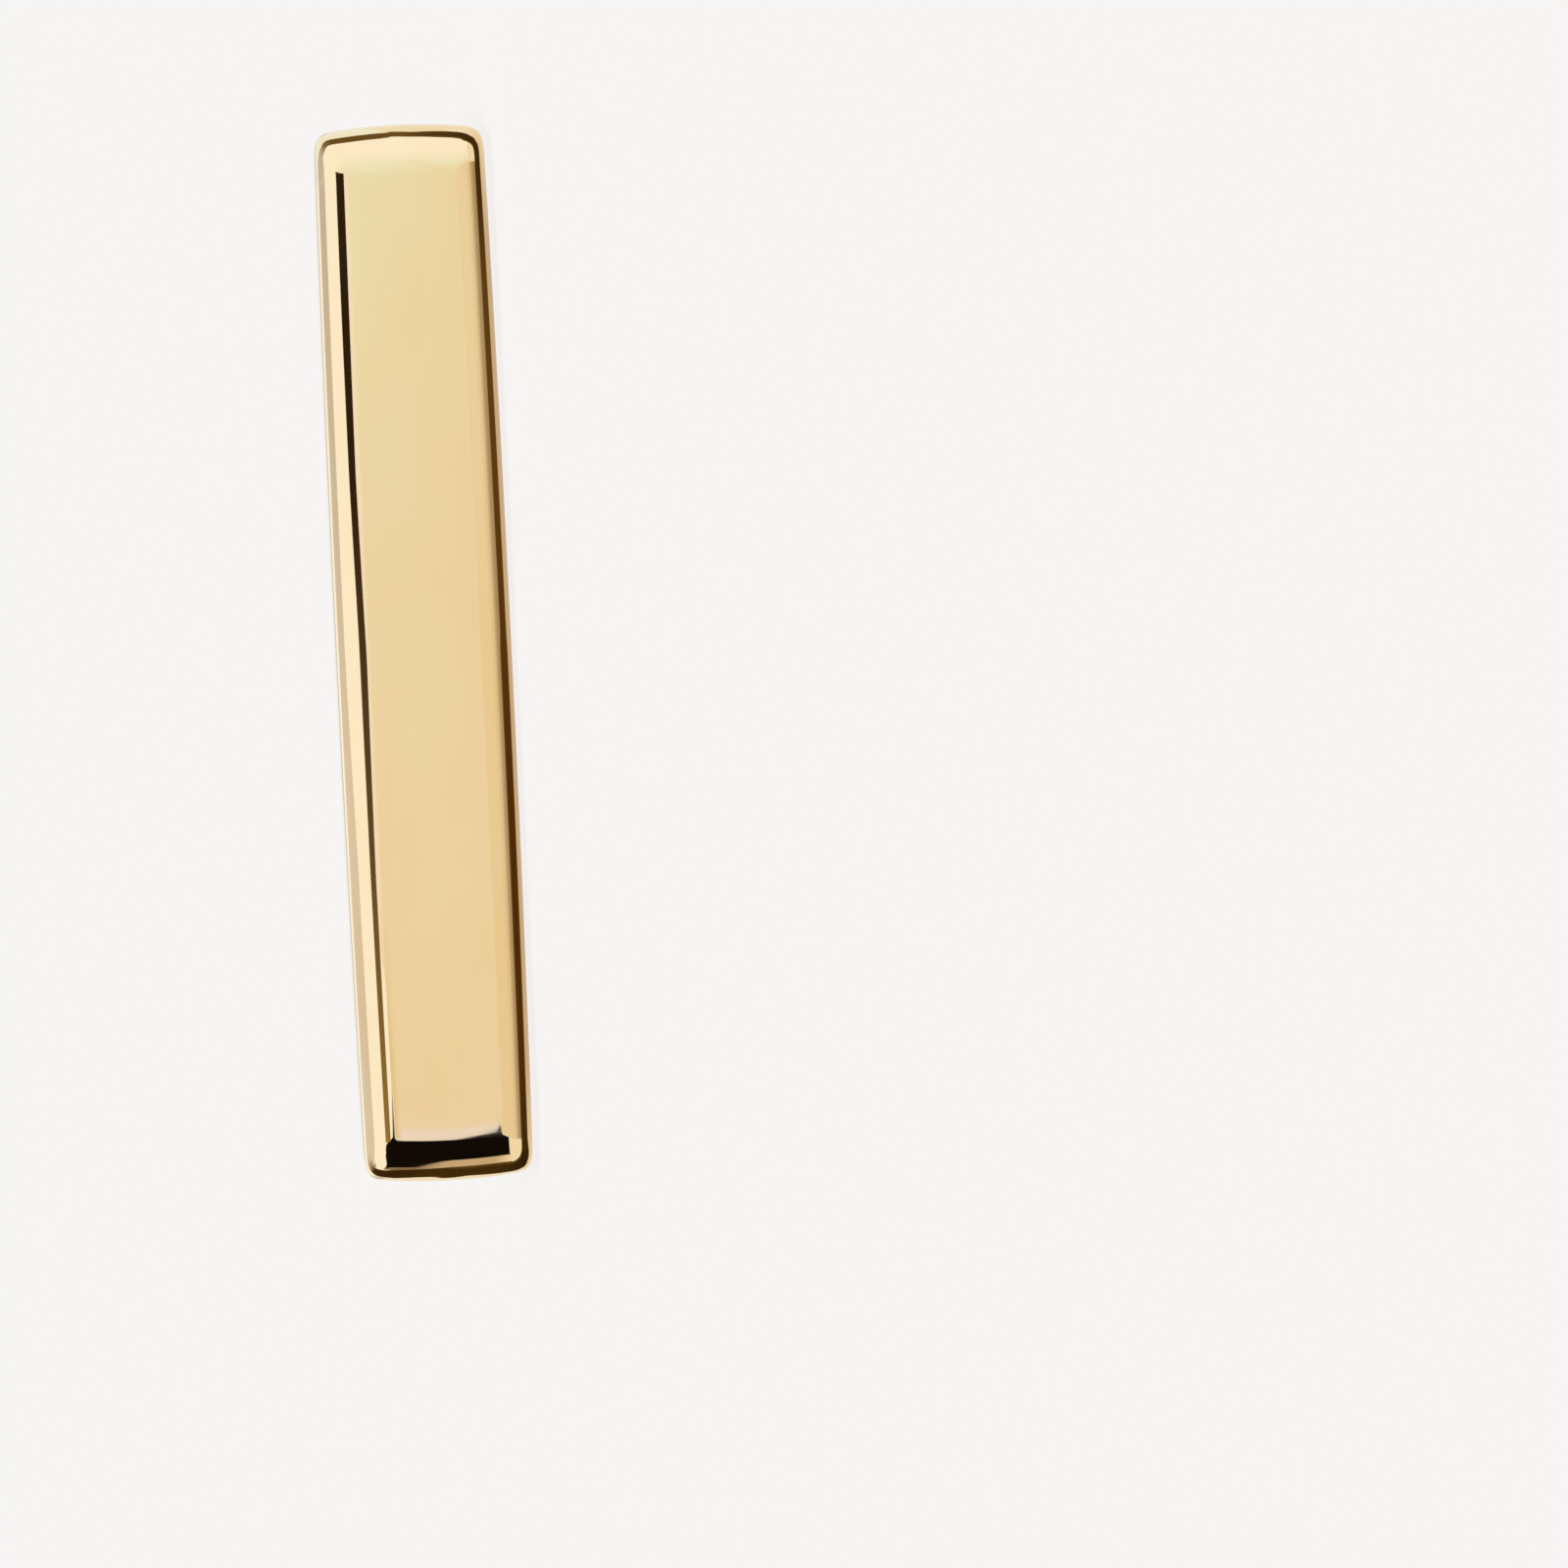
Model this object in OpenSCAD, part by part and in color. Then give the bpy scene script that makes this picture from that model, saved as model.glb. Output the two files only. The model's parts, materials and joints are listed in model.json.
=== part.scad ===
// Bar stud earring: a slim polished bar with an ear post soldered to its back.
// It lies as it does by itself: on one long side, with the tip of the post down behind it.
// +X runs along the bar to its top end, the face looks towards -Y and a little up, +Z is up.

/* [Bar] */
// Length of the bar from end to end
bar_len = 12.1; // [8:0.1:30]
// Width of the bar across the middle of its face
bar_w = 2; // [1.8:0.1:3]
// Thickness of the bar from its face to its back
bar_t = 1.5; // [1.2:0.1:2.5]

/* [Polished edges] */
// Radius of the rounding along both long sides
side_round = 0.38; // [0.1:0.02:0.5]
// Radius of the rounding across both ends
end_round = 0.55; // [0.1:0.05:0.55]
// Radius of the four corners, seen from the front
corner_r = 0.2; // [0.05:0.05:0.5]
// How far the top end arches out at its middle
top_arch = 0.07; // [0:0.01:0.3]
// How far the bottom end arches out at its middle
bottom_arch = 0.07; // [0:0.01:0.3]

/* [Ear post] */
// Diameter of the post's wire
post_d = 0.8; // [0.6:0.05:1]
// Length of the post from the bar's back to its tip
post_len = 10; // [7:0.5:14]
// Distance from the bar's top end down to the middle of the post
post_drop = 3; // [2:0.25:6]
// Radius of the solder fillet around the post's foot
solder_r = 0.2; // [0.05:0.05:0.4]

/* [Hidden] */
gold = [0.93, 0.80, 0.55];
round_steps = 72;
corner_steps = 6;
arch_steps = 12;

// Half sizes of the bar and the post
half_len = bar_len / 2;
half_w = bar_w / 2;
half_t = bar_t / 2;
post_r = post_d / 2;

// The post's foot stays on the flat of the bar's back, and its root is sunk into the bar
fillet_r = min(solder_r, half_w - side_round - post_r);
root_depth = half_t / 2;

// At rest the bar has rolled back on its long side until the tip of the post meets the floor.
// The edge centre is the middle of the rounding that it rolls on, seen from the bar's middle.
edge_y = half_t - side_round;
edge_z = half_w - side_round;
reach_back = post_len - post_r + side_round;
rest_tilt = atan2(edge_z, reach_back) + asin((side_round - post_r) / norm([edge_z, reach_back]));

// Where the bar's middle lies above the floor and in front of the middle of the whole earring
rest_z = edge_y * sin(rest_tilt) + edge_z * cos(rest_tilt) + side_round;
front_y = -edge_y * cos(rest_tilt) - edge_z * sin(rest_tilt) - side_round;
tip_y = (half_t + post_len - post_r) * cos(rest_tilt) + post_r;
rest_y = -(front_y + tip_y) / 2;

// The front outline is a bar with round corners, listed in the order of its four corners.
// Its long sides are straight, and points along each end carry the end's arch.
function corner_middle(k) =
    [(k == 0 || k == 3 ? 1 : -1) * (half_len - corner_r), (k < 2 ? 1 : -1) * (half_w - corner_r)];
function corner_arc(k) =
    [for (i = [0:corner_steps]) let (a = 90 * (k + i / corner_steps))
        corner_middle(k) + corner_r * [cos(a), sin(a)]];
function end_after(k) =
    let (a = corner_arc(k)[corner_steps], b = corner_arc((k + 1) % 4)[0])
    k % 2 == 0 ? [] : [for (i = [1:arch_steps - 1]) a + (b - a) * i / arch_steps];

// Polishing takes most off the corners, so each end arches out towards its middle
function polished(p) =
    let (arch = p[0] > 0 ? top_arch : bottom_arch)
    [p[0] * (1 - arch / half_len * (p[1] / half_w) ^ 2), p[1]];
outline = [for (k = [0:3]) each [for (p = concat(corner_arc(k), end_after(k))) polished(p)]];

// A rectangle whose four corners are true arcs
module rounded_rectangle(size, r) {
    square([size[0] - 2 * r, size[1]], center = true);
    square([size[0], size[1] - 2 * r], center = true);
    for (x = [-1, 1], y = [-1, 1])
        translate([x * (size[0] / 2 - r), y * (size[1] / 2 - r)])
            circle(r = r, $fn = round_steps);
}

// The bar about its own middle, with its face towards -Y
module bar() {
    intersection() {
        rotate([90, 0, 0])
            linear_extrude(bar_t, center = true)
                polygon(outline);
        rotate([90, 0, 90])
            linear_extrude(bar_len, center = true)
                rounded_rectangle([bar_t, bar_w], side_round);
        linear_extrude(bar_w, center = true)
            rounded_rectangle([bar_len, bar_t], end_round);
    }
}

// The post stands on the bar's back, along +Y, with a domed tip and a fillet of solder at its foot
module ear_post() {
    translate([half_len - post_drop, half_t, 0])
        rotate([-90, 0, 0]) {
            translate([0, 0, -root_depth])
                cylinder(h = post_len - post_r + root_depth, r = post_r, $fn = round_steps);
            translate([0, 0, post_len - post_r])
                sphere(r = post_r, $fn = round_steps);
            solder_fillet();
        }
}

module solder_fillet() {
    rotate_extrude($fn = round_steps)
        difference() {
            square([post_r + fillet_r, fillet_r]);
            translate([post_r + fillet_r, fillet_r])
                circle(r = fillet_r, $fn = round_steps);
        }
}

module bar_and_post() {
    color(gold)
        translate([0, rest_y, rest_z])
            rotate([-rest_tilt, 0, 0]) {
                bar();
                ear_post();
            }
}

bar_and_post();
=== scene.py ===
"""Dresses the bar stud earring in polished gold and lays it in a small, soft studio."""
import json
from math import atan2, cos, pi, radians, sin, tan

import bmesh
import bpy
from mathutils import Matrix, Vector


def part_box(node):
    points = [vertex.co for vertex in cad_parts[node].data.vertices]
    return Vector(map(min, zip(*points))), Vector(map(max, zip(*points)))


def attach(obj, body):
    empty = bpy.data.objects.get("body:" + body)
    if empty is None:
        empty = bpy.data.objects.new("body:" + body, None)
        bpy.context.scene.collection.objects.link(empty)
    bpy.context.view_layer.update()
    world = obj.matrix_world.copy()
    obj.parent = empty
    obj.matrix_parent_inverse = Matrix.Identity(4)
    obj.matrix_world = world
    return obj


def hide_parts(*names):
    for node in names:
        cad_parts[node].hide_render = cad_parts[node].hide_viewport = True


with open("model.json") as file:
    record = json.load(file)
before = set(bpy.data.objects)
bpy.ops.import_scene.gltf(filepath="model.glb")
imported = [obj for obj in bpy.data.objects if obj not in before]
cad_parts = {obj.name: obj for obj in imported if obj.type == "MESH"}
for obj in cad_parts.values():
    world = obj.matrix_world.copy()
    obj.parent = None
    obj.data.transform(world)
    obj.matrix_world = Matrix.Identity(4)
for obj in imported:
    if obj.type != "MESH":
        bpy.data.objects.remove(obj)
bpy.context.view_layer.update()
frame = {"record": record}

bl_info = {
    "name": "Bar stud earring",
    "version": (1, 0, 0),
    "blender": (4, 5, 0),
    "location": "View3D > Sidebar > Earring",
    "description": "Builds a polished gold bar stud earring and the studio that it lies in",
    "category": "Object",
}

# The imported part, which says where everything lies
NODE = "bar_and_post"
NODE_LOW, NODE_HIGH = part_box(NODE)
POST_MOUNT = next(m for m in frame["record"]["mounts"] if m["name"] == "ear_post")
MM = 0.001
MICRON = MM / 1000

# The bar's own axes: along it to the top end, out of its back, and across its width
ALONG = Vector((1, 0, 0))
BACKWARD = Vector(POST_MOUNT["axis"])
ACROSS = ALONG.cross(BACKWARD)
POST_RADIUS = POST_MOUNT["dims"]["r_mm"] * MM
POST_WALL = POST_MOUNT["dims"]["length_mm"] * MM
POST_MIDDLE = Vector(POST_MOUNT["pos_m"])

# The photograph's frame, and the place and lean of the bar in it, in pixels and degrees
PHOTO_SIDE = 1600
BAR_IN_PHOTO = (431.2, 666.6)
BAR_LEAN = 2.8
PIXELS_PER_MM = 89.0
SENSOR_MM = 36.0

# How near and how far the camera sees, as shares of its distance from the bar
CLIP_NEAR = 0.01
CLIP_FAR = 1000

# The floor's side, and how brightly the room and the front light together light it where it is open
FLOOR_SIDE = 4000 * MM
FULL_LIGHT = 1.1


class EarringShape(bpy.types.PropertyGroup):
    """Sizes of the bar and its post"""

    bar_width: bpy.props.FloatProperty(
        name="Bar width", description="Width of the bar across the middle of its face",
        default=2.0 * MM, min=1.8 * MM, max=3 * MM, unit="LENGTH", precision=5)
    bar_thickness: bpy.props.FloatProperty(
        name="Bar thickness", description="Thickness of the bar from its face to its back",
        default=1.5 * MM, min=1.2 * MM, max=2.5 * MM, unit="LENGTH", precision=5)
    side_round: bpy.props.FloatProperty(
        name="Side rounding", description="Radius of the rounding along both long sides",
        default=0.38 * MM, min=0.1 * MM, max=0.5 * MM, unit="LENGTH", precision=5)
    end_round: bpy.props.FloatProperty(
        name="End rounding", description="Radius of the rounding across both ends",
        default=0.55 * MM, min=0.1 * MM, max=0.55 * MM, unit="LENGTH", precision=5)
    corner_fullness: bpy.props.FloatProperty(
        name="Corner fullness",
        description="How square the four corners are at the walls, where 2 is an ellipse",
        default=5.5, min=2, max=8)
    face_fullness: bpy.props.FloatProperty(
        name="Face fullness",
        description="How square the four corners are next to the face, where 2 is an ellipse",
        default=2.6, min=2, max=8)
    side_bow: bpy.props.FloatProperty(
        name="Side bow", description="How far each long side swells out at its middle",
        default=0.04 * MM, min=0, max=0.1 * MM, unit="LENGTH", precision=5)
    top_arch: bpy.props.FloatProperty(
        name="Top arch", description="How far the top end arches out at its middle",
        default=0.07 * MM, min=0, max=0.3 * MM, unit="LENGTH", precision=5)
    bottom_arch: bpy.props.FloatProperty(
        name="Bottom arch", description="How far the bottom end arches out at its middle",
        default=0.07 * MM, min=0, max=0.3 * MM, unit="LENGTH", precision=5)
    solder_fillet: bpy.props.FloatProperty(
        name="Solder fillet", description="Radius of the solder around the post's foot",
        default=0.2 * MM, min=0.05 * MM, max=0.4 * MM, unit="LENGTH", precision=5)


class EarringFinish(bpy.types.PropertyGroup):
    """Colour and polish of the gold"""

    gold: bpy.props.FloatVectorProperty(
        name="Gold", description="Colour of the gold seen straight on",
        default=(0.93, 0.747, 0.424), size=3, min=0, max=1, subtype="COLOR")
    deep_gold: bpy.props.FloatVectorProperty(
        name="Deep gold", description="Colour of the slightly deeper patches in the gold",
        default=(0.93, 0.723, 0.391), size=3, min=0, max=1, subtype="COLOR")
    polish: bpy.props.FloatProperty(
        name="Polished roughness", description="Roughness of the mirror-polished face and sides",
        default=0.05, min=0, max=1, subtype="FACTOR")


class EarringStudio(bpy.types.PropertyGroup):
    """Camera and light"""

    turn: bpy.props.FloatProperty(
        name="Turn", description="How far the camera stands round towards the bar's upper long side",
        default=radians(3), min=0, max=radians(40), subtype="ANGLE")
    rise: bpy.props.FloatProperty(
        name="Rise", description="How far the camera stands round towards the bar's top end",
        default=radians(2), min=0, max=radians(40), subtype="ANGLE")
    distance: bpy.props.FloatProperty(
        name="Distance", description="Distance from the camera to the middle of the bar",
        default=120 * MM, min=40 * MM, max=500 * MM, unit="LENGTH")
    room_light: bpy.props.FloatProperty(
        name="Room light", description="Brightness of the even light from all around",
        default=0.35, min=0, max=5)
    front_light: bpy.props.FloatProperty(
        name="Front light", description="Brightness of the wide soft light high up in front",
        default=3.06, min=0, max=20)
    floor_tone: bpy.props.FloatVectorProperty(
        name="Floor", description="Colour of the plain floor",
        default=(0.93, 0.914, 0.906), size=3, min=0, max=1, subtype="COLOR")
    floor_glow: bpy.props.FloatProperty(
        name="Floor glow",
        description="How much of the floor's brightness comes from within, as on a light table",
        default=0.9, min=0, max=1, subtype="FACTOR")


class BarMiddle:
    """Where the middle of the bar lies, worked out from the post's mount"""

    def __init__(self, shape):
        foot = shape.bar_thickness / 2 + shape.solder_fillet
        on_axis = POST_MIDDLE - BACKWARD * (foot + POST_WALL / 2)
        self.point = Vector((0, on_axis.y, on_axis.z))
        self.post_along = POST_MIDDLE.x

    def place(self, along, back, across):
        """A point given about the bar's middle, in the part's frame"""
        return self.point + ALONG * along + BACKWARD * back + ACROSS * across


class MeshParts:
    """Points and faces that are gathered before they become one mesh"""

    def __init__(self):
        self.points = []
        self.faces = []
        self.finishes = []

    def point(self, place):
        self.points.append(place)
        return len(self.points) - 1

    def face(self, corners, finish):
        corners = list(dict.fromkeys(corners))
        if len(corners) > 2:
            self.faces.append(corners)
            self.finishes.append(finish)

    def band(self, first, second, finish):
        """Joins two closed rings of as many points"""
        for i in range(len(first)):
            j = (i + 1) % len(first)
            self.face([first[i], first[j], second[j], second[i]], finish)


# Which of the piece's materials a face takes
POLISHED, BACK, SOLDER, WIRE = range(4)

# How finely the bar and post are drawn
CELLS_ALONG = 120
CELLS_ACROSS = 20
CORNER_STEPS = 16
ROUND_STEPS = 24
WALL_STEPS = 2
POST_STEPS = 40
DOME_STEPS = 12


class Bar:
    """The polished bar about its own middle, as rings that run from the face round to the back"""

    def __init__(self, shape, length):
        self.shape = shape
        self.half_len = length / 2
        self.half_w = shape.bar_width / 2
        self.half_t = shape.bar_thickness / 2
        self.flat_x = self.half_len - shape.end_round
        self.flat_z = self.half_w - shape.side_round

    def polished(self, x, z):
        """Polishing takes most off the corners, so the sides swell and the ends arch"""
        arch = self.shape.top_arch if x > 0 else self.shape.bottom_arch
        bow = self.shape.side_bow
        return (x * (1 - arch / self.half_len * (z / self.half_w) ** 2),
                z * (1 - bow / self.half_w * (x / self.half_len) ** 2))

    def stations(self):
        """Steps round the outline: the grid corner of the flat that each starts from, and its bearing"""
        corners = [(CELLS_ALONG, CELLS_ACROSS), (0, CELLS_ACROSS), (0, 0), (CELLS_ALONG, 0)]
        for k, start in enumerate(corners):
            for c in range(CORNER_STEPS + 1):
                yield start, pi / 2 * (k + c / CORNER_STEPS)
            stop = corners[(k + 1) % 4]
            steps = max(abs(stop[0] - start[0]), abs(stop[1] - start[1]))
            for i in range(1, steps):
                cell = tuple(a + (b - a) * i // steps for a, b in zip(start, stop))
                yield cell, pi / 2 * (k + 1)

    def edge(self, cell, bearing, turn):
        """A point of the rounding: a turn of 0 is next to the flat and a quarter turn is at the wall"""
        fullness = self.shape.face_fullness
        fullness += (self.shape.corner_fullness - fullness) * sin(turn) ** 2
        c, s = cos(bearing), sin(bearing)
        out_x = self.shape.end_round * abs(c) ** (2 / fullness) * (1 if c > 0 else -1)
        out_z = self.shape.side_round * abs(s) ** (2 / fullness) * (1 if s > 0 else -1)
        depth = self.shape.end_round * c * c + self.shape.side_round * s * s
        x = self.flat_x * (2 * cell[0] / CELLS_ALONG - 1) + out_x * sin(turn)
        z = self.flat_z * (2 * cell[1] / CELLS_ACROSS - 1) + out_z * sin(turn)
        x, z = self.polished(x, z)
        return x, self.half_t - depth * (1 - cos(turn)), z


def flat_grid(parts, bar, place, back):
    """Points of a flat face: back is -1 on the polished face and 1 on the back"""
    grid = {}
    for i in range(CELLS_ALONG + 1):
        for j in range(CELLS_ACROSS + 1):
            x = bar.flat_x * (2 * i / CELLS_ALONG - 1)
            z = bar.flat_z * (2 * j / CELLS_ACROSS - 1)
            x, z = bar.polished(x, z)
            grid[i, j] = parts.point(place(x, back * bar.half_t, z))
    return grid


def rounded_rings(parts, bar, place, back):
    """Rings of the rounding on one side, from next to the flat out to the wall"""
    rings = []
    for step in range(1, ROUND_STEPS + 1):
        turn = pi / 2 * step / ROUND_STEPS
        ring = []
        for cell, bearing in bar.stations():
            x, y, z = bar.edge(cell, bearing, turn)
            ring.append(parts.point(place(x, back * y, z)))
        rings.append(ring)
    return rings


def wall_rings(parts, bar, place):
    """Rings up the walls between the two roundings"""
    rings = []
    for step in range(1, WALL_STEPS):
        ring = []
        for cell, bearing in bar.stations():
            x, y, z = bar.edge(cell, bearing, pi / 2)
            ring.append(parts.point(place(x, y * (2 * step / WALL_STEPS - 1), z)))
        rings.append(ring)
    return rings


def post_block(bar, post_along, foot_radius):
    """The grid cells of the back that the post's foot stands in"""
    cell = 2 * bar.flat_x / CELLS_ALONG
    middle = (post_along + bar.flat_x) / cell
    half = foot_radius / cell + 1
    return int(middle - half), int(middle + half) + 1


def block_edge(first, last):
    """Grid corners round the post's block, in order, starting at its top end's upper corner"""
    edge = [(i, CELLS_ACROSS) for i in range(last, first, -1)]
    edge += [(first, j) for j in range(CELLS_ACROSS, 0, -1)]
    edge += [(i, 0) for i in range(first, last)]
    edge += [(last, j) for j in range(0, CELLS_ACROSS)]
    return edge


def post_rings(parts, bar, middle, shape, bearings):
    """Rings of the solder fillet, the wire and its domed tip, and the finish of the band below each"""
    fillet = shape.solder_fillet
    tip = bar.half_t + fillet + POST_WALL
    rows = []
    for step in range(ROUND_STEPS + 1):
        turn = pi / 2 * step / ROUND_STEPS
        radius = POST_RADIUS + fillet * (1 - sin(turn))
        rows.append((radius, bar.half_t + fillet * (1 - cos(turn)), SOLDER))
    for step in range(1, POST_STEPS + 1):
        rows.append((POST_RADIUS, bar.half_t + fillet + POST_WALL * step / POST_STEPS, WIRE))
    for step in range(1, DOME_STEPS):
        turn = pi / 2 * step / DOME_STEPS
        rows.append((POST_RADIUS * cos(turn), tip + POST_RADIUS * sin(turn), WIRE))
    rings = []
    for radius, back, finish in rows:
        ring = [parts.point(middle.place(middle.post_along + radius * cos(a), back, radius * sin(a)))
                for a in bearings]
        rings.append((ring, finish))
    end = parts.point(middle.place(middle.post_along, tip + POST_RADIUS, 0))
    return rings, end


def join_flat(parts, grid, stations, ring, finish, skip=None):
    """Faces of a flat and the first band of rounding around it"""
    for i in range(CELLS_ALONG):
        if skip and skip[0] <= i < skip[1]:
            continue
        for j in range(CELLS_ACROSS):
            parts.face([grid[i, j], grid[i + 1, j], grid[i + 1, j + 1], grid[i, j + 1]], finish)
    inner = [grid[cell] for cell, _ in stations]
    parts.band(inner, ring, POLISHED)


def earring_mesh(shape):
    """The whole earring as one closed mesh"""
    middle = BarMiddle(shape)
    bar = Bar(shape, NODE_HIGH.x - NODE_LOW.x)
    parts = MeshParts()
    stations = list(bar.stations())

    front = flat_grid(parts, bar, middle.place, -1)
    front_rings = rounded_rings(parts, bar, middle.place, -1)
    walls = wall_rings(parts, bar, middle.place)
    back_rings = rounded_rings(parts, bar, middle.place, 1)
    back = flat_grid(parts, bar, middle.place, 1)

    foot = POST_RADIUS + shape.solder_fillet
    first, last = post_block(bar, middle.post_along, foot)
    join_flat(parts, front, stations, front_rings[0], POLISHED)
    shell = front_rings + walls + back_rings[::-1]
    for near, far in zip(shell, shell[1:]):
        parts.band(near, far, POLISHED)
    join_flat(parts, back, stations, back_rings[0], BACK, skip=(first, last))

    edge = block_edge(first, last)
    bearings = []
    for i, j in edge:
        x = bar.flat_x * (2 * i / CELLS_ALONG - 1) - middle.post_along
        z = bar.flat_z * (2 * j / CELLS_ACROSS - 1)
        bearings.append(atan2(z, x))
    rings, end = post_rings(parts, bar, middle, shape, bearings)
    parts.band([back[cell] for cell in edge], rings[0][0], BACK)
    for (near, _), (far, finish) in zip(rings, rings[1:]):
        parts.band(near, far, finish)
    tip = rings[-1][0]
    for i in range(len(tip)):
        parts.face([tip[i], tip[(i + 1) % len(tip)], end], WIRE)
    return parts


def mesh_object(name, parts, materials):
    """Makes one smooth mesh object from gathered parts, with its faces turned outwards"""
    mesh = bpy.data.meshes.new(name)
    mesh.from_pydata(parts.points, [], parts.faces)
    for material in materials:
        mesh.materials.append(material)
    mesh.polygons.foreach_set("material_index", parts.finishes)
    mesh.polygons.foreach_set("use_smooth", [True] * len(parts.faces))
    shell = bmesh.new()
    shell.from_mesh(mesh)
    bmesh.ops.recalc_face_normals(shell, faces=shell.faces)
    shell.to_mesh(mesh)
    shell.free()
    piece = bpy.data.objects.new(name, mesh)
    bpy.context.scene.collection.objects.link(piece)
    return piece


# How finely the gold varies, in waves per millimetre along X, Y and Z: its colour, its shine, the waves
# of the polishing wheel, and the fine lines that run along the bar and along the wire
CLOUDS = (0.7, 1.4, 1.4)
SHINE = (1.5, 5, 5)
WHEEL = (0.3, 0.9, 0.9)
BAR_LINES = (1.2, 28, 28)
WIRE_LINES = (28, 1.2, 28)

# Between which values most of a noise lies, and how much the shine lowers and raises the roughness
NOISE_LOW, NOISE_HIGH = 0.3, 0.7
SHINIER, DULLER = 0.8, 1.25


def noise_texture(tree, where, per_mm, seed, detail):
    """Seeded noise in the part's own space, with per_mm waves per millimetre along X, Y and Z"""
    scaled = tree.nodes.new("ShaderNodeMapping")
    scaled.inputs["Scale"].default_value = [n / MM for n in per_mm]
    noise = tree.nodes.new("ShaderNodeTexNoise")
    noise.noise_dimensions = "4D"
    noise.inputs["W"].default_value = seed
    noise.inputs["Scale"].default_value = 1
    noise.inputs["Detail"].default_value = detail
    tree.links.new(where, scaled.inputs["Vector"])
    tree.links.new(scaled.outputs["Vector"], noise.inputs["Vector"])
    return noise.outputs["Fac"]


def spread(tree, value, low, high):
    """Spreads the middle of a noise over a range"""
    ranged = tree.nodes.new("ShaderNodeMapRange")
    ranged.inputs["From Min"].default_value = NOISE_LOW
    ranged.inputs["From Max"].default_value = NOISE_HIGH
    ranged.inputs["To Min"].default_value = low
    ranged.inputs["To Max"].default_value = high
    tree.links.new(value, ranged.inputs["Value"])
    return ranged.outputs["Result"]


def raised(tree, height, microns, under=None):
    """Raises the surface by a height, which is given in thousandths of a millimetre"""
    bump = tree.nodes.new("ShaderNodeBump")
    bump.inputs["Strength"].default_value = 1
    bump.inputs["Distance"].default_value = microns * MICRON
    tree.links.new(height, bump.inputs["Height"])
    if under:
        tree.links.new(under, bump.inputs["Normal"])
    return bump.outputs["Normal"]


def polished_gold(name, finish, roughness, waves, lines, seed, lines_per_mm=BAR_LINES):
    """Yellow gold whose polish leaves faint waves, fine lines and patches of shine.

    The heights of the waves and of the lines are given in thousandths of a millimetre.
    """
    material = bpy.data.materials.new(name)
    material.use_nodes = True
    tree = material.node_tree
    shader = tree.nodes["Principled BSDF"]
    shader.inputs["Metallic"].default_value = 1
    where = tree.nodes.new("ShaderNodeTexCoord").outputs["Object"]

    clouds = noise_texture(tree, where, CLOUDS, seed, detail=2)
    tone = tree.nodes.new("ShaderNodeMix")
    tone.data_type = "RGBA"
    tone.inputs["A"].default_value = (*finish.gold, 1)
    tone.inputs["B"].default_value = (*finish.deep_gold, 1)
    tree.links.new(spread(tree, clouds, 0, 1), tone.inputs["Factor"])
    tree.links.new(tone.outputs["Result"], shader.inputs["Base Color"])

    shine = noise_texture(tree, where, SHINE, seed + 1, detail=4)
    patches = spread(tree, shine, roughness * SHINIER, roughness * DULLER)
    tree.links.new(patches, shader.inputs["Roughness"])

    wheel = noise_texture(tree, where, WHEEL, seed + 2, detail=0)
    hairs = noise_texture(tree, where, lines_per_mm, seed + 3, detail=3)
    waved = raised(tree, wheel, waves)
    tree.links.new(raised(tree, hairs, lines, waved), shader.inputs["Normal"])
    return material


class EARRING_OT_bar_and_post(bpy.types.Operator):
    """Builds the polished bar with the ear post soldered to its back"""

    bl_idname = "earring.bar_and_post"
    bl_label = "Build the bar and post"

    def execute(self, context):
        shape, finish = context.scene.earring_shape, context.scene.earring_finish
        materials = [
            polished_gold("polished_gold", finish, finish.polish, waves=1.2, lines=0.004, seed=1),
            polished_gold("back_gold", finish, roughness=0.16, waves=1.5, lines=0.05, seed=11),
            polished_gold("solder_gold", finish, roughness=0.24, waves=3, lines=0.05, seed=21),
            polished_gold("wire_gold", finish, roughness=0.12, waves=1, lines=0.03, seed=31,
                          lines_per_mm=WIRE_LINES),
        ]
        piece = mesh_object("polished_bar_and_post", earring_mesh(shape), materials)
        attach(piece, "root")
        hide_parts(NODE)
        return {"FINISHED"}


def photo_camera(studio, target):
    """A camera at the photograph's angle to the bar, with the bar at its place in the frame"""
    face = -BACKWARD
    turned = face * cos(studio.turn) + ACROSS * sin(studio.turn)
    view = turned * cos(studio.rise) + ALONG * sin(studio.rise)
    forward = -view
    upright = (ALONG - forward * ALONG.dot(forward)).normalized()
    sideways = forward.cross(upright)
    lean = radians(BAR_LEAN)
    up = upright * cos(lean) + sideways * sin(lean)
    right = forward.cross(up)
    looking = Matrix((right, up, -forward)).transposed()
    focal_pixels = PIXELS_PER_MM / MM * studio.distance
    bar_x, bar_y = BAR_IN_PHOTO
    towards_bar = Vector((bar_x - PHOTO_SIDE / 2, PHOTO_SIDE / 2 - bar_y, -focal_pixels)).normalized()
    aim = towards_bar.rotation_difference(Vector((0, 0, -1))).to_matrix()
    data = bpy.data.cameras.new("photo_camera")
    data.sensor_width = SENSOR_MM
    data.lens = SENSOR_MM * focal_pixels / PHOTO_SIDE
    data.clip_start = studio.distance * CLIP_NEAR
    data.clip_end = studio.distance * CLIP_FAR
    camera = bpy.data.objects.new("photo_camera", data)
    camera.matrix_world = Matrix.Translation(target + view * studio.distance) @ (looking @ aim).to_4x4()
    bpy.context.scene.collection.objects.link(camera)
    bpy.context.scene.camera = camera


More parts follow.
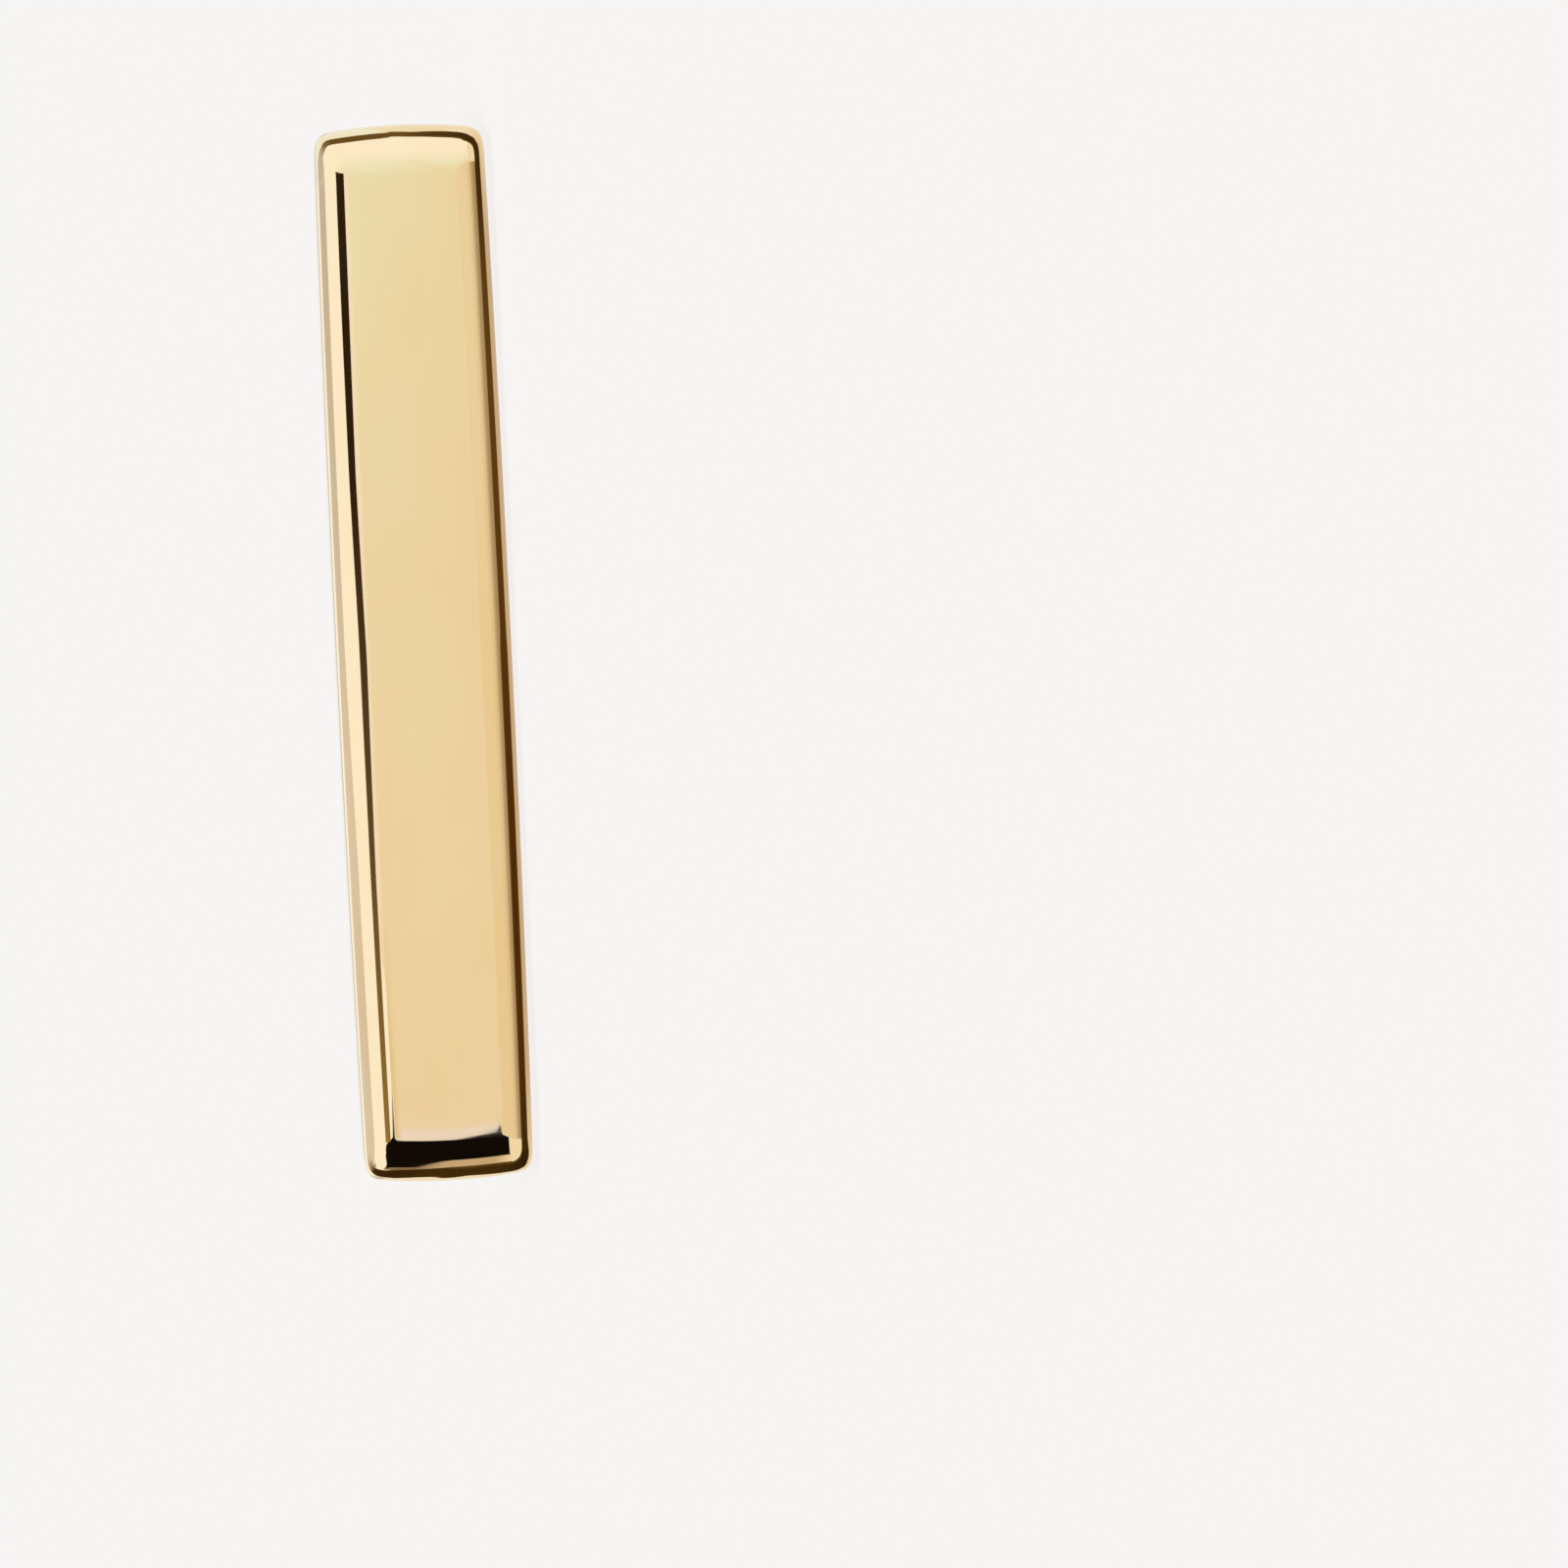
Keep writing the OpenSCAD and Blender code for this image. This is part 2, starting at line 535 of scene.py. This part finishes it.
def plain_floor(studio):
    """A wide pale floor under the earring"""
    half = FLOOR_SIDE / 2
    corners = [(-half, -half, 0), (half, -half, 0), (half, half, 0), (-half, half, 0)]
    mesh = bpy.data.meshes.new("floor")
    mesh.from_pydata(corners, [], [(0, 1, 2, 3)])
    floor = bpy.data.objects.new("floor", mesh)
    bpy.context.scene.collection.objects.link(floor)
    material = bpy.data.materials.new("pale_floor")
    material.use_nodes = True
    shader = material.node_tree.nodes["Principled BSDF"]
    matt = [tone * (1 - studio.floor_glow) / FULL_LIGHT for tone in studio.floor_tone]
    shader.inputs["Base Color"].default_value = (*matt, 1)
    shader.inputs["Emission Color"].default_value = (*studio.floor_tone, 1)
    shader.inputs["Emission Strength"].default_value = studio.floor_glow
    shader.inputs["Roughness"].default_value = 1
    shader.inputs["Specular IOR Level"].default_value = 0
    material.cycles.emission_sampling = "NONE"
    mesh.materials.append(material)


# Colours of the cards that the gold mirrors. The cards are painted reflections that glow but light
# nothing:
# their light colours are painted highlights in the gold, and their dark colours painted dark bands and
# painted shade lines
BLACK = (0.006, 0.004, 0.003)
SHADE_BLACK = (0.03, 0.016, 0.004)
UMBER = (0.055, 0.030, 0.007)
RUSSET = (0.078, 0.034, 0.005)
BRONZE = (0.115, 0.064, 0.015)
BROWN = (0.15, 0.09, 0.03)
TAN = (0.42, 0.32, 0.26)
DULL = (0.62, 0.51, 0.46)
PALE = (0.89, 0.84, 0.78)
GLINT = (0.96, 0.965, 1.12)
CREAM = (0.94, 1.04, 1.18)
WHITE = (1.05, 1.10, 1.33)

# Where the cards are laid out from, in millimetres: the front of the bar, the roundings of its ends,
# the middle of its height, and Y and Z of the upper one of its front long edges
FRONT_Y = -5.6
END_X = 5.6
MIDDLE_Z = 1.0
LONG_EDGE = (-5.3, 1.6)

# How far off the standing cards are, in millimetres, where a nearer card covers what lies behind it
SHADE_LINE_REACH = 14
LIP_REACH = 19.4
END_REACH = 20
GLINT_REACH = 21
END_LIGHT_REACH = 22
BEHIND_REACH = 29
OVERHEAD_REACH = 30
FACE_REACH = 60

# How far the cards on the floor reach out: past the foot of the cards that stand at the ends, and
# past the face's cards
FLOOR_REACH = 24.0
FAR_FLOOR_REACH = 90

# Where the cards that stand round the ends begin, in degrees up from level, which is under the floor
DIP = -16

# Heights of the cards on the floor, in millimetres, where a higher card covers those under it
FRONT_LIFT = 0.006
GLINT_LIFT = 0.008
END_LIFT = 0.010
EDGE_LIFT = 0.012
RIBBON_LIFT = 0.016

# How finely the cards are painted, and how much closer the rows on the floor lie near the bar
CARD_ROWS = 32
CARD_COLUMNS = 80
CROWDING = 3


def shares(count):
    """Evenly spaced shares from 0 to 1"""
    return [i / count for i in range(count + 1)]


def between(span, share):
    """The value at a share of the way from a span's first value to its last"""
    return span[0] + (span[1] - span[0]) * share


def follow(stops, place):
    """The values at a place, between stops that each hold a place and its values"""
    for (low, first), (high, second) in zip(stops, stops[1:]):
        if place <= high:
            share = max((place - low) / (high - low), 0)
            return [between(pair, share) for pair in zip(first, second)]
    return stops[-1][1]


def plain(colour):
    """The same colour all over a card"""
    return lambda first, second: colour


def by_first(stops):
    """A colour that follows the first of the two places that a card's colour is given by"""
    return lambda first, second: follow(stops, first)


def by_second(stops):
    """A colour that follows the second of the two places that a card's colour is given by"""
    return lambda first, second: follow(stops, second)


def card_glow():
    """An even glow in each card's own paint"""
    material = bpy.data.materials.new("card_glow")
    material.use_nodes = True
    tree = material.node_tree
    tree.nodes.remove(tree.nodes["Principled BSDF"])
    paint = tree.nodes.new("ShaderNodeAttribute")
    paint.attribute_name = "paint"
    emission = tree.nodes.new("ShaderNodeEmission")
    tree.links.new(paint.outputs["Color"], emission.inputs["Color"])
    tree.links.new(emission.outputs[0], tree.nodes["Material Output"].inputs["Surface"])
    material.cycles.emission_sampling = "NONE"
    return material


def painted_card(name, glow, spot):
    """A card that only the gold mirrors, as a painted reflection: it glows but lights nothing.

    At each share of its rows and of its columns, spot gives a point in millimetres and its colour.
    """
    spots = [spot(u, v) for u in shares(CARD_ROWS) for v in shares(CARD_COLUMNS)]
    width = CARD_COLUMNS + 1
    faces = [(i * width + j, i * width + j + 1, (i + 1) * width + j + 1, (i + 1) * width + j)
             for i in range(CARD_ROWS) for j in range(CARD_COLUMNS)]
    mesh = bpy.data.meshes.new(name)
    mesh.from_pydata([Vector(point) * MM for point, _ in spots], [], faces)
    paint = mesh.color_attributes.new(name="paint", type="FLOAT_COLOR", domain="POINT")
    for dot, (_, colour) in zip(paint.data, spots):
        dot.color = (*colour, 1)
    mesh.materials.append(glow)
    card = bpy.data.objects.new(name, mesh)
    bpy.context.scene.collection.objects.link(card)
    card.visible_camera = False
    card.visible_diffuse = False
    card.visible_transmission = False
    card.visible_volume_scatter = False
    card.visible_shadow = False


def over_bar(lengths, rises, reach, colour):
    """A card over the bar's upper front edge. Rises are degrees up from the front.

    The first and the last rise follow the place along the bar, and the colour follows both.
    """
    def spot(u, v):
        x = between(lengths, v)
        rise = between(follow(rises, x), u)
        y, z = LONG_EDGE
        y -= reach * cos(radians(rise))
        z += reach * sin(radians(rise))
        return (x, y, z), colour(x, rise)
    return spot


def round_end(side, climbs, reach, turns, colour):
    """A card round one end. Climbs are degrees up from level, and turns are degrees from the front.

    The first and the last turn follow the climb, and the colour follows both.
    """
    def spot(u, v):
        climb = between(climbs, v)
        turn = between(follow(turns, climb), u)
        out = reach * sin(radians(turn))
        x = side * (END_X + out * cos(radians(climb)))
        y = FRONT_Y - reach * cos(radians(turn))
        z = MIDDLE_Z + out * sin(radians(climb))
        return (x, y, z), colour(turn, climb)
    return spot


def on_floor_round_end(side, turns, near, far, lift, colour):
    """A card on the floor round one end. Turns are degrees from the front, and near follows them.

    The colour follows the turn and the distance from the end.
    """
    def spot(u, v):
        turn = between(turns, v)
        start = follow(near, turn)[0]
        out = between((start, far), u ** CROWDING)
        x = side * (END_X + out * sin(radians(turn)))
        y = FRONT_Y - out * cos(radians(turn))
        return (x, y, lift), colour(turn, out)
    return spot


def face_reflection_paint(x, height):
    """The painted reflection in the polished face: warm at the bottom end, cooler at the top and at the
    upper side.

    The height is 0 at the face's lower long side and 1 at its upper one.
    """
    coolness = [(-11, (0.9, 0.845, 0.80)), (0, (0.9, 0.90, 0.905)), (10, (0.89, 0.995, 1.04)),
                (25, CREAM)]
    warmth = [(-6, (1, 1, 1)), (5, (1, 0.94, 0.88))]
    pairs = zip(follow(coolness, x), follow(warmth, x))
    return [cool * between((warm, 1), height) for cool, warm in pairs]


def side_cards(glow):
    """Cards that the face and the upper long rounding mirror, as painted reflections and a painted shade
    line.

    Each stop holds a place along the bar, and the colour or the first and the last rise there.
    """
    border = (0.99, 0.96, 0.92)
    # Painted reflection that turns deeper and yellower towards the bottom end
    deeper_near_bottom = [(-10.4, (0.86, 0.74, 0.54)), (-9.3, (0.91, 0.82, 0.64)), (-6.5, (1, 1, 1))]
    glint = [(-9.3, (0.85, 0.75, 0.60)), (-6, GLINT)]
    # A dark card whose reflection is a painted shade line along the upper long side, darkest towards the
    # top end
    shade_line = [(-7, (0.32, 0.215, 0.065)), (-3.3, (0.13, 0.09, 0.045)), (-0.5, (0.07, 0.044, 0.025)),
            (1.8, (0.028, 0.016, 0.008))]
    shade_line_rises = [(-3.3, (25, 44)), (-0.5, (17.5, 41)), (1.8, (26, 50)), (4.6, (23, 52.5))]
    # A white card overhead, a painted highlight along the upper rounding; the card behind is a greyer
    # painted reflection
    overhead = [(-7, (1.01, 1.0, 1.0)), (-4, WHITE)]
    behind = [(-6, (0.74, 0.72, 0.80)), (-3, (0.77, 0.74, 0.88)), (1, (0.66, 0.65, 0.76)),
              (5, (0.60, 0.59, 0.69))]
    behind_rises = [(-4, (92, 142)), (-1, (103, 142))]

    def face_colour(x, rise):
        low, high = face_reflection_paint(x, 0), face_reflection_paint(x, 1)
        warm = [tone * share for tone, share in zip(low, border)]
        edge = [tone * share for tone, share in zip(high, follow(deeper_near_bottom, x))]
        stops = [(-1.2, warm), (-0.85, low), (0.9, high), (4, edge), (6, edge), (13, follow(glint, x))]
        return follow(stops, rise)

    painted_card("face_card", glow, over_bar(
        lengths=(-40, 40), rises=[(0, (-3, 3))], reach=FACE_REACH, colour=face_colour))
    painted_card("upper_face_card", glow, over_bar(
        lengths=(-40, 40), rises=[(0, (3, 32))], reach=FACE_REACH, colour=face_colour))
    painted_card("side_shade_line", glow, over_bar(
        lengths=(-8.2, 7), rises=shade_line_rises, reach=SHADE_LINE_REACH, colour=by_first(shade_line)))
    painted_card("overhead_light", glow, over_bar(
        lengths=(-30, 30), rises=[(0, (43, 108))], reach=OVERHEAD_REACH, colour=by_first(overhead)))
    painted_card("behind_card", glow, over_bar(
        lengths=(-30, 30), rises=behind_rises, reach=BEHIND_REACH, colour=by_first(behind)))


def front_floor_card(glow, studio):
    """A card on the floor in front, which the lower long rounding mirrors next to the face.

    Near the bar it is dull, painted shade at the bar's foot, and far off it takes on what the face mirrors
    at the same place along the bar.
    """
    overlap, gap, widening = 2, 0.1, 0.25
    # The tan, dull and near tones are painted shade, darkest next to the bar where it shades the floor
    beside_bar = [(-5, (0.87, 0.78, 0.67)), (0, (0.88, 0.81, 0.71)), (3, PALE)]
    dull = (0.82, 0.74, 0.62)

    def spreading(reach):
        """How much longer than the bar its mirrored view is, so far in front of it"""
        return 1 + reach * MM / studio.distance

    def drift(reach):
        """How far that view moves towards the bottom end, because the camera stands towards the top end"""
        return reach * tan(studio.rise)

    def spot(u, v):
        reach = (FACE_REACH + overlap) * u ** CROWDING
        x = (END_X + widening * reach) * (2 * v - 1)
        along = (x + drift(reach)) / spreading(reach)
        face = face_reflection_paint(along * spreading(FACE_REACH) - drift(FACE_REACH), 0)
        near = follow(beside_bar, x)
        colour = follow([(0.1, TAN), (0.25, dull), (0.45, near), (4, near), (12, face)], reach)
        return (x, FRONT_Y - gap - reach, FRONT_LIFT), colour
    painted_card("front_floor_card", glow, spot)


def contact_shade_ribbon(glow):
    """A dark ribbon of painted shade on the floor along the bar's lower edge, which bends back round both
    ends.

    The lower rounding and both ends mirror it as one dark line just inside the bar's outline.
    Each stop of its edges holds how far past the end it is, and where the ribbon starts and stops there,
    in millimetres behind the bar's front.
    """
    top = [(0, (-0.125, 0.035)), (0.3, (-0.125, 0.035)), (0.7, (-0.14, 0.12)), (1.3, (-0.2, 0.45)),
           (1.9, (-0.1, 0.85)), (2.8, (0.1, 1.4)), (5.4, (0.2, 2.5)), (8.9, (0.5, 3.6)),
           (13.2, (0.95, 6.4)), (16.4, (1.6, 8.8)), (19.5, (2.4, 8.4)), (FLOOR_REACH, (3.0, 9.5))]
    bottom = [(0, (-0.15, 0.045)), (0.3, (-0.15, 0.10)), (0.7, (-0.14, 0.42)), (1.2, (-0.05, 1.05)),
              (1.8, (0.0, 1.8)), (2.7, (-0.1, 2.7)), (6, (-0.3, 4.8)), (7.5, (-0.4, 7.4)),
              (9.5, (-0.5, 9.6)), (11.5, (-0.6, 10.1)), (15, (-0.8, 10.9)), (FLOOR_REACH, (-1.3, 16.5))]
    edges = {1: top, -1: bottom}
    tones = [(-8.6, UMBER), (-6, SHADE_BLACK), (-5.6, UMBER), (-4.9, RUSSET), (-2, RUSSET), (3, BRONZE),
             (4.3, BRONZE), (5.2, UMBER), (6.6, UMBER), (19.6, BROWN)]
    straight_share = 0.6

    def spot(u, v):
        side = 1 if v > 0.5 else -1
        share = abs(2 * v - 1)
        past = FLOOR_REACH * max((share - straight_share) / (1 - straight_share), 0) ** 2
        x = side * (END_X * min(share / straight_share, 1) + past)
        core = follow(tones, x)
        colour = follow([(0, BROWN), (0.2, core), (0.85, core), (1, BROWN)], u)
        return (x, FRONT_Y + between(follow(edges[side], past), u), RIBBON_LIFT), colour
    painted_card("contact_shade_ribbon", glow, spot)


def under_edge_shade_card(glow):
    """A dull card of painted shade on the floor under the bar's lower edge, which pales and widens past
    both ends
    """
    past_end, gap, depth, widening = 3, 0.02, 0.4, 0.5
    shades = [(END_X - 0.8, DULL), (END_X + 0.5, PALE), (END_X + 2, CREAM)]

    def spot(u, v):
        x = (END_X + past_end) * (2 * v - 1)
        past = max(abs(x) - END_X, 0)
        y = FRONT_Y + gap + (depth + widening * past) * u
        return (x, y, EDGE_LIFT), follow(shades, abs(x))
    painted_card("under_edge_shade_card", glow, spot)


def top_end_cards(glow):
    """Cards that the top end mirrors: a painted highlight at first, then a thin painted shade line
    that fades towards the upper side.

    Each stop of the line and the fringe holds a climb, and the first and the last turn there.
    """
    side = 1
    light = [(1, (0.89, 0.91, 0.87)), (10, (0.89, 0.97, 0.95)), (28, CREAM), (54, WHITE)]
    near_light = [(1, PALE), (28, CREAM), (54, WHITE)]
    floor_near = [(1, (1.5,)), (12, (0.6,)), (28, (0.4,)), (94, (1.1,))]
    line = [(-3, (103, 113)), (-1.8, (96.5, 115)), (-1.3, (93, 114)), (55, (92, 113)), (70, (98, 122)),
            (89, (112, 144))]
    faded = [(15, BROWN), (45, (0.26, 0.21, 0.15)), (80, (0.60, 0.595, 0.70))]
    fringe = [(DIP, (110, 150)), (89, (110, 160))]

    def floor_colour(turn, out):
        return follow([(1.5, follow(near_light, turn)), (5, follow(light, turn))], out)

    painted_card("top_light", glow, round_end(
        side, climbs=(DIP, 90), reach=END_LIGHT_REACH, turns=[(0, (28, 94))], colour=by_first(light)))
    painted_card("top_line", glow, round_end(
        side, climbs=(DIP, 89), reach=END_REACH, turns=line, colour=by_second(faded)))
    painted_card("top_fringe", glow, round_end(
        side, climbs=(DIP, 89), reach=END_LIGHT_REACH, turns=fringe, colour=plain(CREAM)))
    painted_card("top_light_floor", glow, on_floor_round_end(
        side, turns=(1, 94), near=floor_near, far=FAR_FLOOR_REACH, lift=END_LIFT, colour=floor_colour))


def bottom_band_lip():
    """The near border of the black band, with a painted highlight as a light rim before it.

    Each stop of its slant holds a height, and how far out the band starts there, in millimetres.
    """
    slant = [(0.05, (1.44,)), (0.3, (1.5,)), (0.6, (2.1,)), (0.8, (3.1,)), (1.05, (4.5,))]
    outs, heights = (1.3, 5.2), (-0.3, 2.1)
    rim, blur = (0.9, 0.9, 1.2), 0.1

    def spot(u, v):
        out, height = between(outs, v), between(heights, u)
        edge = follow(slant, height)[0]
        stops = [(1.34, face_reflection_paint(-11, 0)), (1.4, rim), (edge - blur, rim), (edge + blur, BLACK)]
        return (-END_X - out, FRONT_Y - LIP_REACH, height), follow(stops, out)
    return spot


def bottom_end_cards(glow):
    """Cards that the bottom end mirrors, all painted reflections: a wide black band, a glint,
    a thin dark line of painted shade, and a white painted highlight.

    Each stop of the band and the line holds a climb, and the first and the last turn there.
    """
    side = -1
    band = [(-1.5, (9, 66)), (-0.4, (9, 69)), (0.5, (9, 75)), (1.3, (9, 83)), (2.1, (9, 86)),
            (12, (9, 90)), (16, (9, 76)), (24, (9, 65)), (44, (9, 51)), (70, (9, 45)), (78, (9, 14))]
    band_tones = [(11, (0.89, 0.91, 1.0)), (13, BLACK)]
    line = [(-2.7, (87, 125)), (-1.5, (88, 127)), (-0.15, (90, 133)), (1.2, (92, 137)), (2.5, (95, 133)),
            (8, (99, 132)), (25, (98, 129)), (60, (103, 128)), (75, (112, 138)), (88, (114, 144))]
    faded = [(-0.5, UMBER), (1.5, (0.042, 0.02, 0.005)), (35, UMBER), (60, TAN), (80, (0.74, 0.74, 0.88))]
    glint_foot = (0.60, 0.50, 0.42)
    glint = [(-1.3, glint_foot), (0.4, TAN), (1.6, (0.26, 0.18, 0.13))]
    glint_floor = [(2.5, PALE), (5, glint_foot)]
    band_near, glint_near = [(9, (1.0,)), (66, (1.9,))], [(64, (1.4,)), (96, (2.0,))]

    painted_card("bottom_band_lip", glow, bottom_band_lip())
    painted_card("bottom_light", glow, round_end(
        side, climbs=(DIP, 95), reach=END_LIGHT_REACH, turns=[(0, (13, 92))], colour=plain(WHITE)))
    painted_card("bottom_band", glow, round_end(
        side, climbs=(DIP, 78), reach=END_REACH, turns=band, colour=by_first(band_tones)))
    painted_card("bottom_glint", glow, round_end(
        side, climbs=(DIP, 14), reach=GLINT_REACH, turns=[(0, (64, 96))], colour=by_second(glint)))
    painted_card("bottom_line", glow, round_end(
        side, climbs=(DIP, 88), reach=END_REACH, turns=line, colour=by_second(faded)))
    painted_card("bottom_band_floor", glow, on_floor_round_end(
        side, turns=(9, 66), near=band_near, far=FLOOR_REACH, lift=END_LIFT, colour=by_first(band_tones)))
    painted_card("bottom_glint_floor", glow, on_floor_round_end(
        side, turns=(64, 96), near=glint_near, far=FLOOR_REACH, lift=GLINT_LIFT,
        colour=by_second(glint_floor)))


# Light and dark bands that only mirrored rays see, a painted reflection in the gold: a height from 0 below
# to 1 above, and how bright the room looks there in the gold
ROOM_BANDS = ((0.0, 0.55), (0.12, 0.75), (0.3, 1.15), (0.55, 1.1), (0.68, 0.35), (0.78, 0.4), (0.9, 1.2))


def soft_room(studio):
    """Even light from all around, and light and dark bands that only mirrored rays see, as painted
    reflection
    """
    world = bpy.data.worlds.new("soft_room")
    world.use_nodes = True
    tree = world.node_tree
    room = tree.nodes["Background"]
    room.inputs["Color"].default_value = (1, 1, 1, 1)
    room.inputs["Strength"].default_value = studio.room_light
    mirrored = tree.nodes.new("ShaderNodeBackground")
    height = tree.nodes.new("ShaderNodeSeparateXYZ")
    bands = tree.nodes.new("ShaderNodeValToRGB")
    stops = bands.color_ramp.elements
    for place, tone in ROOM_BANDS:
        stop = stops[0] if place == 0 else stops.new(place)
        stop.color = (tone, tone, tone, 1)
    where = tree.nodes.new("ShaderNodeTexCoord")
    path = tree.nodes.new("ShaderNodeLightPath")
    either = tree.nodes.new("ShaderNodeMixShader")
    tree.links.new(where.outputs["Generated"], height.inputs[0])
    tree.links.new(height.outputs["Z"], bands.inputs[0])
    tree.links.new(bands.outputs["Color"], mirrored.inputs["Color"])
    tree.links.new(path.outputs["Is Glossy Ray"], either.inputs[0])
    tree.links.new(room.outputs[0], either.inputs[1])
    tree.links.new(mirrored.outputs[0], either.inputs[2])
    tree.links.new(either.outputs[0], tree.nodes["World Output"].inputs["Surface"])
    bpy.context.scene.world = world


# The front light: how wide it looks, and how far it leans forward from overhead, in degrees
LIGHT_WIDTH = 30
LIGHT_LEAN = 40


def high_front_light(studio):
    """A wide soft light high up in front, whose shadow falls behind the bar"""
    data = bpy.data.lights.new("front_light", "SUN")
    data.energy = studio.front_light
    data.angle = radians(LIGHT_WIDTH)
    light = bpy.data.objects.new("front_light", data)
    light.rotation_euler = (radians(LIGHT_LEAN), 0, 0)
    light.visible_glossy = False
    bpy.context.scene.collection.objects.link(light)


class EARRING_OT_stage(bpy.types.Operator):
    """Sets up the floor, the soft light, the cards and the camera"""

    bl_idname = "earring.stage"
    bl_label = "Set the stage"

    def execute(self, context):
        studio = context.scene.earring_studio
        plain_floor(studio)
        glow = card_glow()
        side_cards(glow)
        front_floor_card(glow, studio)
        contact_shade_ribbon(glow)
        under_edge_shade_card(glow)
        top_end_cards(glow)
        bottom_end_cards(glow)
        soft_room(studio)
        high_front_light(studio)
        context.scene.view_settings.view_transform = "Standard"
        photo_camera(studio, BarMiddle(context.scene.earring_shape).point)
        return {"FINISHED"}


class EARRING_PT_panel(bpy.types.Panel):
    """Lists the earring's sizes, finish and stage"""

    bl_idname = "EARRING_PT_panel"
    bl_label = "Earring"
    bl_space_type = "VIEW_3D"
    bl_region_type = "UI"
    bl_category = "Earring"

    def draw(self, context):
        column = self.layout.column()
        scene = context.scene
        for group in (scene.earring_shape, scene.earring_finish, scene.earring_studio):
            for name in group.bl_rna.properties.keys():
                if name not in ("rna_type", "name"):
                    column.prop(group, name)
        column.operator("earring.bar_and_post")
        column.operator("earring.stage")


CLASSES = (
    EarringShape,
    EarringFinish,
    EarringStudio,
    EARRING_OT_bar_and_post,
    EARRING_OT_stage,
    EARRING_PT_panel,
)


def register():
    for each in CLASSES:
        bpy.utils.register_class(each)
    bpy.types.Scene.earring_shape = bpy.props.PointerProperty(type=EarringShape)
    bpy.types.Scene.earring_finish = bpy.props.PointerProperty(type=EarringFinish)
    bpy.types.Scene.earring_studio = bpy.props.PointerProperty(type=EarringStudio)


def unregister():
    del bpy.types.Scene.earring_studio
    del bpy.types.Scene.earring_finish
    del bpy.types.Scene.earring_shape
    for each in reversed(CLASSES):
        bpy.utils.unregister_class(each)


def main():
    register()
    bpy.ops.earring.bar_and_post()
    bpy.ops.earring.stage()


if __name__ == "__main__":
    main()
